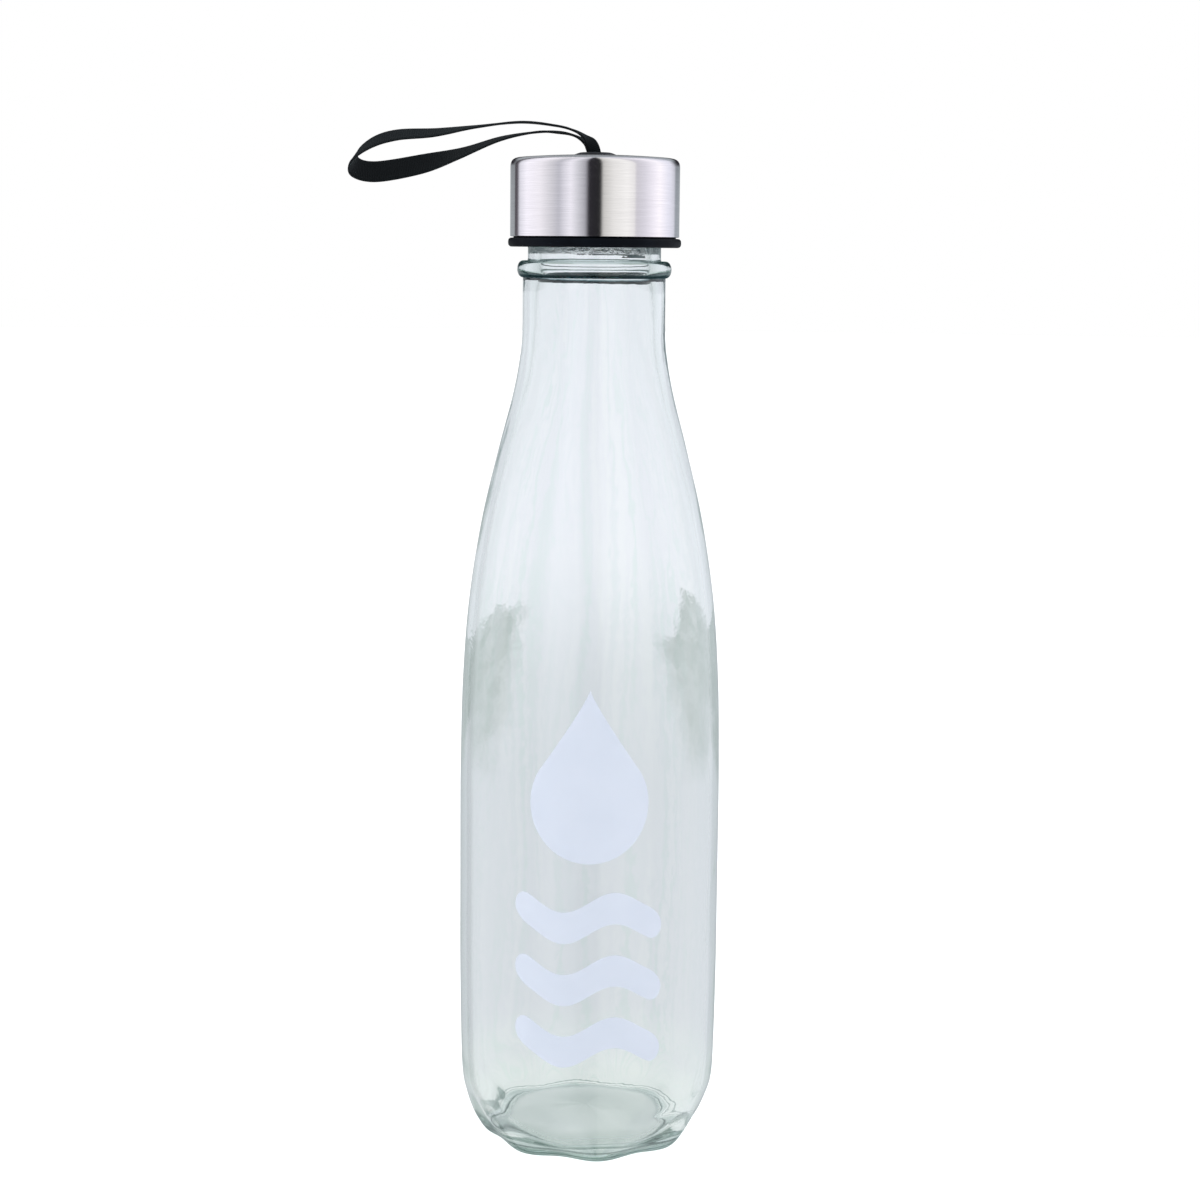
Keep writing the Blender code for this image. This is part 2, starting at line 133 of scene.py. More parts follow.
# ---------------------------------------------------------------- ribbon (mm, from the fold)
RIBBON_T = 0.5
ROOT_BOTTOM = ROOT_LOW_CORNER.z + 0.1 - PIVOT_Z
GATHERED = 2.9                                 # the ribbon's width where it is bunched in the eyelet
RIBBON = (                                     # x, y, z, full width, direction of the width
    (0.0, -0.6, ROOT_BOTTOM, GATHERED, (1.0, 0.0, 0.0)),
    (0.0, -0.6, -4.0, GATHERED, (1.0, 0.0, 0.0)),
    (-0.1, -0.6, -1.8, GATHERED, (1.0, 0.0, 0.1)),
    (-0.9, -0.6, 0.3, GATHERED, (0.85, 0.35, 0.5)),
    (-2.7, -0.55, 2.1, 3.0, (0.25, 0.95, 0.2)),
    (-5.2, -0.5, 3.5, 3.8, (0.02, 1.0, 0.06)),
    (-9.5, -0.5, 4.6, 5.2, (0.0, 1.0, 0.04)),
    (-18.0, -0.5, 5.35, 6.0, (0.0, 1.0, 0.03)),
    (-29.0, -1.2, 4.1, 6.0, (0.0, 1.0, 0.12)),
    (-38.5, -2.2, 2.65, 6.0, (0.0, 1.0, 0.38)),
    (-47.3, -3.2, 1.95, 6.0, (0.0, 1.0, 0.5)),
    (-53.2, -3.0, 0.2, 6.0, (0.15, 1.0, 0.6)),
    (-57.6, -1.2, -2.9, 6.0, (0.45, 1.0, 0.8)),
    (-57.9, 1.3, -5.6, 6.0, (0.3, 0.8, 0.9)),
    (-53.0, 2.9, -6.6, 5.8, (0.0, 0.6, 1.0)),
    (-42.5, 2.7, -4.8, 5.7, (0.1, 0.65, 1.0)),
    (-32.7, 1.9, -2.1, 6.0, (0.1, 1.0, 0.55)),
    (-22.8, 0.9, 1.45, 6.0, (0.05, 1.0, 0.2)),
    (-14.1, 0.7, 3.1, 6.0, (0.0, 1.0, 0.04)),
    (-8.6, 0.6, 3.05, 5.2, (0.0, 1.0, 0.1)),
    (-5.0, 0.6, 2.3, 3.8, (0.02, 1.0, 0.06)),
    (-2.6, 0.6, 0.9, 3.0, (0.25, 0.95, 0.2)),
    (-0.85, 0.5, -0.9, GATHERED, (0.9, 0.3, 0.35)),
    (-0.1, 0.55, -2.8, GATHERED, (1.0, 0.0, 0.1)),
    (0.0, 0.6, -4.6, GATHERED, (1.0, 0.0, 0.0)),
    (0.0, 0.6, ROOT_BOTTOM, GATHERED, (1.0, 0.0, 0.0)),
)

GLASS_STEPS, CAP_STEPS, SMALL_STEPS = 256, 192, 96


# ---------------------------------------------------------------- shape helpers
def smoothstep(low, high, value):
    t = min(max((value - low) / (high - low), 0.0), 1.0)
    return t * t * (3 - 2 * t)


def hermite(stations, u):
    """A smooth curve through the stations, u from 0 to len - 1."""
    i = min(int(u), len(stations) - 2)
    t = u - i
    p0, p1 = Vector(stations[i]), Vector(stations[i + 1])
    m0 = (p1 - Vector(stations[i - 1])) / 2 if i else p1 - p0
    m1 = (Vector(stations[i + 2]) - p0) / 2 if i + 2 < len(stations) else p1 - p0
    a, b = 2 * t**3 - 3 * t**2 + 1, t**3 - 2 * t**2 + t
    c, d = -2 * t**3 + 3 * t**2, t**3 - t**2
    return p0 * a + m0 * b + p1 * c + m1 * d


def place(r, angle, z):
    """A point round the bottle's axis, in the frame's metres."""
    return Vector((AXIS_X + r * math.cos(angle), r * math.sin(angle), z)) * MM


def softened(corners, steps=5):
    """A closed outline of (radius, height, rounding) with each corner turned into a short curve."""
    line = []
    count = len(corners)
    for i, (r, z, rounding) in enumerate(corners):
        here = Vector((r, z))
        if rounding == 0:
            line.append(here)
            continue
        back = (Vector(corners[i - 1][:2]) - here).normalized() * rounding
        ahead = (Vector(corners[(i + 1) % count][:2]) - here).normalized() * rounding
        for k in range(steps + 1):
            t = k / steps
            line.append(here + back * (1 - t) ** 2 + ahead * t**2)
    return line


def filled(points, step):
    """The same line with extra points, so that no stretch is longer than step."""
    line = []
    for a, b in zip(points, points[1:]):
        count = max(1, math.ceil((Vector(b) - Vector(a)).length / step))
        line += [Vector(a).lerp(Vector(b), k / count) for k in range(count)]
    return line + [Vector(points[-1])]


def skin(bm, rings, wrap_rings):
    """Faces between neighbouring rings of vertices; a ring of one vertex is a pole."""
    pairs = list(zip(rings, rings[1:]))
    if wrap_rings:
        pairs.append((rings[-1], rings[0]))
    for a, b in pairs:
        for i in range(max(len(a), len(b))):
            j = i + 1
            corners = []
            for vertex in (a[i % len(a)], a[j % len(a)], b[j % len(b)], b[i % len(b)]):
                if vertex not in corners:
                    corners.append(vertex)
            bm.faces.new(corners)


def finish_piece(name, bm, mat, sharp=40.0):
    """An object from the mesh, smooth apart from edges sharper than so many degrees."""
    bmesh.ops.recalc_face_normals(bm, faces=bm.faces)
    mesh = bpy.data.meshes.new(name)
    bm.to_mesh(mesh)
    bm.free()
    mesh.shade_smooth()
    mesh.set_sharp_from_angle(angle=math.radians(sharp))
    mesh.materials.append(mat)
    obj = bpy.data.objects.new(name, mesh)
    bpy.context.scene.collection.objects.link(obj)
    return obj


def turned(name, outline, steps, mat, shape=None, sharp=40.0):
    """An outline of (radius, height) turned about the axis; shape(r, z, angle) may press it."""
    bm = bmesh.new()
    rings = []
    for r, z in outline:
        if r < 1e-6:
            rings.append([bm.verts.new(place(0, 0, z))])
            continue
        ring = []
        for i in range(steps):
            angle = math.tau * i / steps
            at = shape(r, z, angle) if shape else (r, z)
            ring.append(bm.verts.new(place(at[0], angle, at[1])))
        rings.append(ring)
    skin(bm, rings, wrap_rings=len(rings[0]) > 1)
    return finish_piece(name, bm, mat, sharp)


# ---------------------------------------------------------------- node helpers
class Graph:
    """Short calls for one node tree. A value is a number, a colour or another node's output."""

    def __init__(self, owner):
        owner.use_nodes = True
        self.tree = owner.node_tree
        self.tree.nodes.clear()

    def node(self, kind, inputs=None, **settings):
        made = self.tree.nodes.new("ShaderNode" + kind)
        for key, value in settings.items():
            setattr(made, key, value)
        for key, value in (inputs or {}).items():
            if isinstance(value, bpy.types.NodeSocket):
                self.tree.links.new(value, made.inputs[key])
            else:
                made.inputs[key].default_value = value
        return made

    def math(self, operation, a, b=0.0):
        return self.node("Math", {0: a, 1: b}, operation=operation).outputs[0]

    def mix(self, factor, a, b, blend="MIX"):
        made = self.node("Mix", {0: factor, 6: a, 7: b}, data_type="RGBA", blend_type=blend)
        return made.outputs[2]

    def scale(self, factor, low, high, to_low, to_high):
        names = {"Value": factor, "From Min": low, "From Max": high, "To Min": to_low,
                 "To Max": to_high}
        return self.node("MapRange", names).outputs[0]

    def ramp(self, factor, stops, interpolation="LINEAR"):
        """stops are (position, colour); a single number is a grey."""
        made = self.node("ValToRGB", {"Fac": factor})
        elements = made.color_ramp.elements
        made.color_ramp.interpolation = interpolation
        while len(elements) < len(stops):
            elements.new(1.0)
        for element, (position, colour) in zip(elements, stops):
            element.position = position
            element.color = (*colour, 1.0) if isinstance(colour, tuple) else (colour,) * 3 + (1.0,)
        return made.outputs["Color"]

    def combine(self, x, y, z):
        return self.node("CombineXYZ", {"X": x, "Y": y, "Z": z}).outputs[0]

    def noise(self, vector, scale=1.0, detail=3.0, roughness=0.5):
        names = {"Vector": vector, "Scale": scale, "Detail": detail, "Roughness": roughness}
        return self.node("TexNoise", names).outputs["Fac"]

    def bump(self, height, distance, strength=1.0):
        names = {"Height": height, "Distance": distance, "Strength": strength}
        return self.node("Bump", names).outputs[0]

    def around_axis(self):
        """(angle in radians, radius in mm, height in mm) of the shaded point at rest."""
        here = self.node("TexCoord").outputs["Object"]
        moved = self.node("VectorMath", {0: here, 1: (AXIS_X * MM, 0, 0)}, operation="SUBTRACT")
        parts = self.node("SeparateXYZ", {0: moved.outputs[0]}).outputs
        angle = self.math("ARCTAN2", parts[1], parts[0])
        flat = self.combine(parts[0], parts[1], 0.0)
        length = self.node("VectorMath", {0: flat}, operation="LENGTH").outputs["Value"]
        return angle, self.math("MULTIPLY", length, 1 / MM), self.math("MULTIPLY", parts[2], 1 / MM)

    def in_mm(self):
        here = self.node("TexCoord").outputs["Object"]
        made = self.node("VectorMath", {0: here, "Scale": 1 / MM}, operation="SCALE")
        return made.outputs[0]

    def output(self, surface, volume=None):
        inputs = {"Surface": surface}
        if volume:
            inputs["Volume"] = volume
        self.node("OutputMaterial", inputs)


def new_material(name):
    mat = bpy.data.materials.new(name)
    return mat, Graph(mat)


def principled(graph, **inputs):
    """A Principled shader; an input's name is its label with _ for each space."""
    labels = {name.replace("_", " "): value for name, value in inputs.items()}
    return graph.node("BsdfPrincipled", labels).outputs[0]


# ---------------------------------------------------------------- materials
# A painted glow that stands in for light trapped in the glass: its tone by height from the foot to the
# rim, very dark as painted shade from the neck up, and after how many bounces light counts as trapped:
# in most of the bottle, and from the bead up.
TRAPPED_PAINTED_GLOW = ((0.0, (0.3, 0.37, 0.35)), (0.008, (0.4, 0.48, 0.46)), (0.022, (0.6, 0.68, 0.66)),
           (0.08, (0.62, 0.68, 0.68)), (0.3, (0.66, 0.71, 0.72)), (0.62, (0.62, 0.68, 0.69)),
           (0.78, (0.25, 0.33, 0.34)), (0.86, (0.04, 0.09, 0.095)), (1.0, (0.02, 0.05, 0.055)))
TRAPPED_BOUNCES, TRAPPED_BOUNCES_BEAD = 5.5, 3.5
# Painted shade: dark lines painted into the glass colour at edges where shade gathers. Each runs over
# the stretch of its reach, in mm: from below the bead to above it, up from the table, and from inside
# the inside floor's edge to outside it.
BEAD_REACH = 3.0
BEAD_PAINTED_SHADE = ((0.0, 1.0), (0.14, 1.0), (0.17, (0.12, 0.2, 0.22)), (0.25, (0.2, 0.3, 0.32)),
             (0.32, 1.0), (0.7, 1.0), (0.8, (0.78, 0.85, 0.84)), (0.9, 1.0))
FOOT_REACH, FOOT_PAINTED_SHADE_R = 4.0, FOOT_INNER_R - 0.8
FOOT_PAINTED_SHADE = ((0.0, (0.6, 0.67, 0.66)), (0.1, (0.74, 0.8, 0.79)), (0.17, 1.0),
             (0.21, (0.5, 0.57, 0.56)), (0.25, 1.0), (0.37, 1.0), (0.42, (0.38, 0.46, 0.45)),
             (0.47, 1.0), (1.0, 1.0))
FLOOR_REACH = 2.0
FLOOR_EDGE_PAINTED_SHADE = ((0.3, 1.0), (0.42, (0.35, 0.42, 0.41)), (0.5, (0.35, 0.42, 0.41)), (0.62, 1.0))
# How deep the mould's chill crinkles the glass, by height from below the thread to the rim.
CHILLED = ((0.0, 0.0), (0.07, 0.0), (0.13, 2.4), (0.75, 2.4), (0.9, 0.0))
FLOOR_ROUGH = 0.35                             # the base is slightly matt where the mould held it
RELIEF = 0.25                                  # depth of the ripple, mm
INDEX = 1.52                                   # refraction of soda glass
TINT, TINT_DENSITY = (0.42, 0.62, 0.54, 1), 18.0


def glass_relief(g, angle, height):
    """The slow ripple of a blown wall, the thread's crinkles and a fine unevenness all over."""
    ripple = g.noise(g.combine(g.math("MULTIPLY", g.math("SINE", angle), 1.6),
                               g.math("MULTIPLY", g.math("COSINE", angle), 1.6),
                               g.math("MULTIPLY", height, 0.035)), 1.0, 2.0)
    up_thread = g.scale(height, THREAD_Z - 2, RIM_Z, 0.0, 1.0)
    chilled = g.math("MULTIPLY", g.noise(g.in_mm(), 0.9, 4.0, 0.6), g.ramp(up_thread, CHILLED))
    fine = g.math("MULTIPLY", g.noise(g.in_mm(), 0.35, 2.0), 0.05)
    return g.bump(g.math("ADD", g.math("ADD", ripple, chilled), fine), RELIEF * MM)


def glass_painted_shade(g, angle, radius, height):
    """Painted shade in the glass colour: dark lines round the bead, round the foot's rim and at both
    sides of the inside floor's edge.
    """
    clear = (1, 1, 1, 1)
    bead = g.ramp(g.scale(height, BEAD_Z - BEAD_REACH, BEAD_Z + BEAD_REACH, 0.0, 1.0), BEAD_PAINTED_SHADE)
    foot = g.ramp(g.scale(height, 0.0, FOOT_REACH, 0.0, 1.0), FOOT_PAINTED_SHADE)
    foot = g.mix(g.math("GREATER_THAN", radius, FOOT_PAINTED_SHADE_R), clear, foot)
    floor_edge = g.ramp(g.scale(radius, FLOOR_R - FLOOR_REACH, FLOOR_R + FLOOR_REACH, 0.0, 1.0),
                        FLOOR_EDGE_PAINTED_SHADE)
    sideways = g.scale(g.math("ABSOLUTE", g.math("COSINE", angle)), 0.5, 0.9, 0.0, 1.0)
    low = g.scale(height, FLOOR_Z + 0.3, FLOOR_Z + 0.8, 1.0, 0.0)
    floor_edge = g.mix(g.math("MULTIPLY", low, sideways), clear, floor_edge)
    return g.mix(1.0, g.mix(1.0, bead, foot, "MULTIPLY"), floor_edge, "MULTIPLY")


def glass_material():
    """Clear soda glass, faintly green where thick, with painted shade lines in its colour. Trapped
    light ends in a painted glow, one of TRAPPED_PAINTED_GLOW's tones.
    """
    mat, g = new_material("clear_glass")
    angle, radius, height = g.around_axis()
    low = g.scale(height, FLOOR_Z + 0.4, FLOOR_Z + 1.0, FLOOR_ROUGH, 0.0)
    rough = g.math("MULTIPLY", low, g.scale(radius, FLOOR_R - 2.6, FLOOR_R - 0.6, 1.0, 0.0))
    # The glass colour carries the painted shade lines at the bead, the foot and the inside floor's
    # edge.
    clear = g.node("BsdfGlass", {"Color": glass_painted_shade(g, angle, radius, height), "IOR": INDEX,
                                 "Roughness": rough,
                                 "Normal": glass_relief(g, angle, height)}).outputs[0]
    through = g.node("BsdfTransparent", {"Color": (0.955, 0.975, 0.97, 1)}).outputs[0]
    path = g.node("LightPath").outputs
    passing = g.math("MAXIMUM", path["Is Shadow Ray"], path["Is Diffuse Ray"])
    surface = g.node("MixShader", {0: passing, 1: clear, 2: through}).outputs[0]
    # Painted glow: a ray that bounces past the limit ends in this fixed tone by height, not in real
    # light.
    trapped = g.ramp(g.scale(height, 0.0, RIM_Z, 0.0, 1.0), TRAPPED_PAINTED_GLOW)
    glow = g.node("Emission", {"Color": trapped, "Strength": 1.0}).outputs[0]
    limit = g.scale(height, BEAD_Z - 8, BEAD_Z - 4, TRAPPED_BOUNCES, TRAPPED_BOUNCES_BEAD)
    is_trapped = g.math("GREATER_THAN", path["Ray Depth"], limit)
    surface = g.node("MixShader", {0: is_trapped, 1: surface, 2: glow}).outputs[0]
    g.output(surface, g.node("VolumeAbsorption", {"Color": TINT, "Density": TINT_DENSITY}).outputs[0])
    return mat


def steel_material():
    """Stainless steel brushed round the cap: fine circling scratches, highlights stretched upright."""
    mat, g = new_material("brushed_steel")
    angle, radius, height = g.around_axis()
    line = g.math("ADD", height, radius)
    lines = g.noise(g.combine(g.math("MULTIPLY", angle, 2.2), g.math("MULTIPLY", line, 9.0), 0.0),
                    1.0, 4.0, 0.65)
    broad = g.noise(g.combine(g.math("MULTIPLY", angle, 1.4), g.math("MULTIPLY", line, 1.3), 4.0),
                    1.0, 2.0)
    scratch = g.math("ADD", g.math("MULTIPLY", lines, 0.8), g.math("MULTIPLY", broad, 0.2))
    colour = g.ramp(scratch, ((0.3, (0.66, 0.65, 0.67)), (0.7, (0.82, 0.81, 0.83))))
    rough = g.scale(scratch, 0.3, 0.7, 0.19, 0.11)
    tangent = g.node("Tangent", direction_type="RADIAL", axis="Z").outputs[0]
    shader = principled(g, Base_Color=colour, Metallic=1.0, Roughness=rough, Anisotropic=0.95,
                        Anisotropic_Rotation=0.25, Tangent=tangent,
                        Normal=g.bump(scratch, 0.004 * MM))
    g.output(shader)
    return mat


def plastic_material(name, base, worn, roughness, sheen):
    """Moulded plastic: a fine pitted skin and slow patches where it has been rubbed smoother."""
    mat, g = new_material(name)
    skin_noise = g.noise(g.in_mm(), 3.2, 3.0, 0.6)
    rubbed = g.noise(g.in_mm(), 0.16, 2.0)
    colour = g.mix(g.scale(rubbed, 0.35, 0.7, 0.0, 1.0), (*base, 1), (*worn, 1))
    rough = g.scale(rubbed, 0.3, 0.7, roughness + 0.07, roughness - 0.05)
    shader = principled(g, Base_Color=colour, Roughness=rough, Specular_IOR_Level=sheen,
                        Normal=g.bump(skin_noise, 0.02 * MM, 0.6))
    g.output(shader)
    return mat


def silicone_material():
    """Cloudy soft silicone with a faintly uneven skin."""
    mat, g = new_material("clear_silicone")
    skin_noise = g.noise(g.in_mm(), 1.7, 4.0, 0.6)
    cloud = g.noise(g.in_mm(), 0.2, 2.0)
    colour = g.mix(cloud, (0.76, 0.79, 0.79, 1), (0.88, 0.9, 0.9, 1))
    shader = principled(g, Base_Color=colour, Roughness=0.5, Subsurface_Weight=0.4,
                        Subsurface_Scale=2 * MM, Normal=g.bump(skin_noise, 0.03 * MM))
    g.output(shader)
    return mat


def crimp_material():
    """Dull pressed metal, marked where it was crimped."""
    mat, g = new_material("crimped_metal")
    angle, radius, height = g.around_axis()
    marks = g.noise(g.combine(g.math("MULTIPLY", angle, 6.0), g.math("MULTIPLY", height, 1.5),
                              radius), 1.0, 4.0)
    colour = g.ramp(marks, ((0.3, (0.4, 0.4, 0.41)), (0.7, (0.62, 0.62, 0.63))))
    shader = principled(g, Base_Color=colour, Metallic=1.0, Normal=g.bump(marks, 0.05 * MM),
                        Roughness=g.scale(marks, 0.3, 0.7, 0.5, 0.3))
    g.output(shader)
    return mat


def ribbon_material():
    """Black woven polyester: ribs across, fine warp threads along, a teal sheen on the threads."""
    mat, g = new_material("woven_ribbon")
    uv = g.node("UVMap", uv_map="strip").outputs[0]
    parts = g.node("SeparateXYZ", {0: uv}).outputs
    across, along = parts[0], parts[1]
    wander = g.noise(g.combine(across, along, 0.0), 0.6, 2.0)
    ribs = g.math("SINE", g.math("MULTIPLY", g.math("ADD", along, g.math("MULTIPLY", wander, 0.12)),
                                 math.tau / 0.42))
    warp = g.math("SINE", g.math("MULTIPLY", across, math.tau / 0.3))
    weave = g.math("ADD", g.math("MULTIPLY", ribs, 0.6),
                   g.math("MULTIPLY", g.math("MULTIPLY", warp, ribs), 0.4))
    shade = g.scale(weave, -1.0, 1.0, 0.0, 1.0)
    fuzz = g.noise(g.combine(g.math("MULTIPLY", across, 4.0), along, 0.0), 1.5, 4.0)
    colour = g.mix(g.math("MULTIPLY", shade, fuzz), (0.0012, 0.0018, 0.0025, 1),
                   (0.006, 0.011, 0.013, 1))
    shader = principled(g, Base_Color=colour, Roughness=g.scale(shade, 0, 1, 0.75, 0.52),
                        Specular_IOR_Level=0.1, Sheen_Weight=0.02, Sheen_Roughness=0.4,
                        Sheen_Tint=(0.35, 0.6, 0.65, 1), Normal=g.bump(weave, 0.05 * MM))
    g.output(shader)
    return mat


def ink_material():
    """Screen-printed enamel: pale blue-white, slightly uneven, letting some light through."""
    mat, g = new_material("printed_enamel")
    mesh_marks = g.noise(g.in_mm(), 5.0, 3.0, 0.7)
    cloud = g.noise(g.in_mm(), 0.12, 3.0)
    colour = g.mix(cloud, (0.62, 0.665, 0.74, 1), (0.69, 0.725, 0.795, 1))
    face = principled(g, Base_Color=colour, Roughness=0.42, Specular_IOR_Level=0.4,
                      Normal=g.bump(mesh_marks, 0.008 * MM))
    back = g.node("BsdfTranslucent", {"Color": (0.64, 0.68, 0.77, 1)}).outputs[0]
    g.output(g.node("MixShader", {0: 0.35, 1: face, 2: back}).outputs[0])
    return mat


# ---------------------------------------------------------------- glass bottle
def outside_line(step=0.25):
    """Outer radius and height from the neck to the bearing ring, as close points."""
    spans = len(OUTSIDE) - 1
    line = []
    for i in range(spans):
        length = (Vector(OUTSIDE[i + 1]) - Vector(OUTSIDE[i])).length
        count = max(3, round(length / (step * 8)))
        line += [hermite(OUTSIDE, i + k / count) for k in range(count)]
    line.append(Vector(OUTSIDE[-1]))
    return [Vector((p.y, p.x)) for p in line]


OUTSIDE_LINE = outside_line()


def outer_radius(z):
    """Radius of the glass's outside at a height, below the neck."""
    for upper, lower in zip(OUTSIDE_LINE, OUTSIDE_LINE[1:]):
        if lower.y <= z <= upper.y:
            t = (upper.y - z) / max(upper.y - lower.y, 1e-9)
            return upper.x + (lower.x - upper.x) * t
    return NECK_R


def inside_line():
    """The inside from the floor's middle up to the mouth. The floor is flat and drops at its edge."""
    drop = FLOOR_Z - FLOOR_EDGE_Z
    bottom = [Vector((FLOOR_R * k / 20, FLOOR_EDGE_Z + drop * (1 - (k / 20) ** 6)))
              for k in range(21)]
    spans = len(INSIDE_HEEL) - 1
    heel = [hermite(INSIDE_HEEL, k / 5) for k in range(5 * spans + 1)]
    wall = []
    for p in reversed(OUTSIDE_LINE):
        if p.y > heel[-1].y + 2:
            thick = WALL + (NECK_WALL - WALL) * smoothstep(*THICKENING, p.y)
            wall.append(Vector((min(p.x, BODY_R) - thick, p.y)))
    return bottom + heel[1:] + wall + filled(INSIDE_NECK, 1.2)


def thread_rise(z, angle, start, turns, height):
    """How far a rounded ridge on the common helix stands out at a point; it fades at both ends."""
    best = 0.0
    for wrap in range(-1, 4):
        turn = angle / math.tau + wrap
        if not start <= turn <= start + turns:
            continue
        centre = THREAD_Z + LEAD * turn
        across = abs(z - centre) / THREAD_HALF
        if across < 1:
            ends = min(turn - start, start + turns - turn)
            ridge = math.cos(across * math.pi / 2) ** RIDGE_SHAPE
            best = max(best, ridge * smoothstep(0, THREAD_FADE, ends))
    return best * height


def press_glass(r, z, angle):
    """Thread on the finish, lobes and knurls at the foot, and the uneven inside wall."""
    if z > BEAD_Z + BEAD_HALF and r > FINISH_R - 0.05:
        at = Vector((math.cos(angle) * CHILL_ROUND, math.sin(angle) * CHILL_ROUND, z * CHILL_UP))
        rise = thread_rise(z, angle, 0.0, THREAD_TURNS, THREAD_HEIGHT)
        return r + rise * (1 + CHILL * noise.noise(at)), z
    outside = z < FLOOR_EDGE_Z - 0.05 or r > outer_radius(z) - WALL / 2
    if outside and z < LOBE_TOP and r > FOOT_RING_R + 0.1:
        valley = 0.5 - 0.5 * math.cos(LOBES * (angle - LOBE_PHASE))
        fade = 1 - smoothstep(LOBE_LOW, LOBE_TOP, z)
        return r - LOBE_INSET * valley * fade, z + LOBE_LIFT * valley * fade
    if z < 0.01 and FOOT_INNER_R < r <= FOOT_RING_R + 0.1:
        return r, KNURL_DEPTH * (0.5 - 0.5 * math.cos(KNURLS * angle))
    if not outside and z < RIM_Z - 10:
        at = Vector((math.cos(angle) * UNEVEN_ROUND, math.sin(angle) * UNEVEN_ROUND, z * UNEVEN_UP))
        wander = noise.noise(at) * UNEVEN * smoothstep(*UNEVEN_LOW, z)
        return r + wander * (1 - smoothstep(*UNEVEN_HIGH, z)), z
    return r, z


def glass_outline():
    """The glass's closed outline: up the inside, over the rim, down the outside and under the foot."""
    rim = softened([(BORE_R, BELOW_RIM, 0), (BORE_R, RIM_Z, RIM_ROUND), (FINISH_R, RIM_Z, RIM_ROUND),
                    (FINISH_R, BELOW_RIM, 0)])
    finish = filled([(FINISH_R, BELOW_RIM), (FINISH_R, FINISH_LOW)], THREAD_STEP)[1:]
    bead = [Vector((FINISH_R + 0.1, FINISH_LOW - 0.5))]
    swell = BEAD_R - NECK_R
    for k in range(17):
        t = math.sin(math.pi * (0.5 - k / 16))
        bead.append(Vector((NECK_R + swell * math.sqrt(max(1 - t * t, 0.0)), BEAD_Z + BEAD_HALF * t)))
    neck = filled([(NECK_R, BEAD_Z - BEAD_HALF - 0.35), (NECK_R, OUTSIDE[0][0] + 1)], 1.5)
    ring = filled([(FOOT_RING_R, 0.0), (FOOT_INNER_R, 0.0)], 0.6)
    under = [(FOOT_INNER_R * (1 - k / 20), PUNT_Z * (0.5 - 0.5 * math.cos(math.pi * k / 20)))
             for k in range(1, 21)]
    return (inside_line()[:-1] + rim + finish + bead + neck + OUTSIDE_LINE
            + [Vector((LOBE_ROOT_R, 0.0))] + ring + [Vector(p) for p in under])


def glass_bottle(mat):
    """One blown piece: body, neck, bead, thread and scalloped foot."""
    piece = turned("bottle_glass", glass_outline(), GLASS_STEPS, mat, press_glass, sharp=70)
    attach(piece, "bottle")
    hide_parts("glass_bottle")


# ---------------------------------------------------------------- printed decoration
INK_GAP, INK_T = 0.02, 0.07
FRONT = -math.pi / 2


def ink_patch(name, rows, mat):
    """A thin raised layer on the glass from rows of (arc length from the front, height)."""
    bm = bmesh.new()
    layers = []
    for lift in (INK_GAP, INK_GAP + INK_T):
        layers.append([[bm.verts.new(place(outer_radius(z) + lift, FRONT + s / BODY_R, z))
                        for s, z in row] for row in rows])
    low, high = layers
    for layer in layers:
        for a, b in zip(layer, layer[1:]):
            for i in range(len(a) - 1):
                bm.faces.new((a[i], a[i + 1], b[i + 1], b[i]))
    rim = [(i, 0) for i in range(len(rows))]
    rim += [(len(rows) - 1, j) for j in range(1, len(rows[0]))]
    rim += [(i, len(rows[0]) - 1) for i in range(len(rows) - 2, -1, -1)]
    rim += [(0, j) for j in range(len(rows[0]) - 2, 0, -1)]
    for (i, j), (k, m) in zip(rim, rim[1:] + rim[:1]):
        bm.faces.new((low[i][j], low[k][m], high[k][m], high[i][j]))
    piece = finish_piece(name, bm, mat)
    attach(piece, "bottle")
    return piece


WAVE_HEIGHTS, WAVE_ROWS = (33.0, 48.5, 64.0), 96
WAVE_REACH, WAVE_T, WAVE_END_T, WAVE_SWING, WAVE_LENGTH = 18.6, 7.8, 0.04, 2.5, 25.0


def wave_rows(middle):
    """A wave band with rounded ends: its middle line swings, its thickness closes at the ends."""
    rows = []
    for i in range(WAVE_ROWS + 1):
        s = -WAVE_REACH * math.cos(math.pi * i / WAVE_ROWS)
        past = max(abs(s) - (WAVE_REACH - WAVE_T / 2), 0.0) / (WAVE_T / 2)
        half = max(WAVE_T / 2 * math.sqrt(max(1 - past**2, 0.0)), WAVE_END_T / 2)
        centre = middle + WAVE_SWING * math.sin(math.tau * s / WAVE_LENGTH)
        rows.append([(s, centre + half * (k / 4 - 1)) for k in range(9)])
    return rows


DROP_LOW, DROP_TIP, DROP_TIP_HALF, DROP_R = 77.5, 119.5, 0.03, 14.6
DROP_ROUND_ROWS, DROP_TIP_ROWS = 48, 24


def drop_rows():
    """A water drop: a round bottom whose sides run up into a point."""
    centre = DROP_LOW + DROP_R
    tall = DROP_TIP - centre
    join = math.pi / 2 - math.acos(DROP_R / tall)
    rise = DROP_R * math.sin(join)
    outline = []
    for i in range(DROP_ROUND_ROWS + 1):
        turn = -math.pi / 2 + (math.pi / 2 + join) * i / DROP_ROUND_ROWS
        outline.append((DROP_R * math.cos(turn), centre + DROP_R * math.sin(turn)))
    for i in range(1, DROP_TIP_ROWS + 1):
        t = i / DROP_TIP_ROWS
        outline.append((DROP_R * math.cos(join) * (1 - t) ** 1.12, centre + rise + (tall - rise) * t))
    return [[(max(half, DROP_TIP_HALF) * (k / 8 - 1), z) for k in range(17)] for half, z in outline]


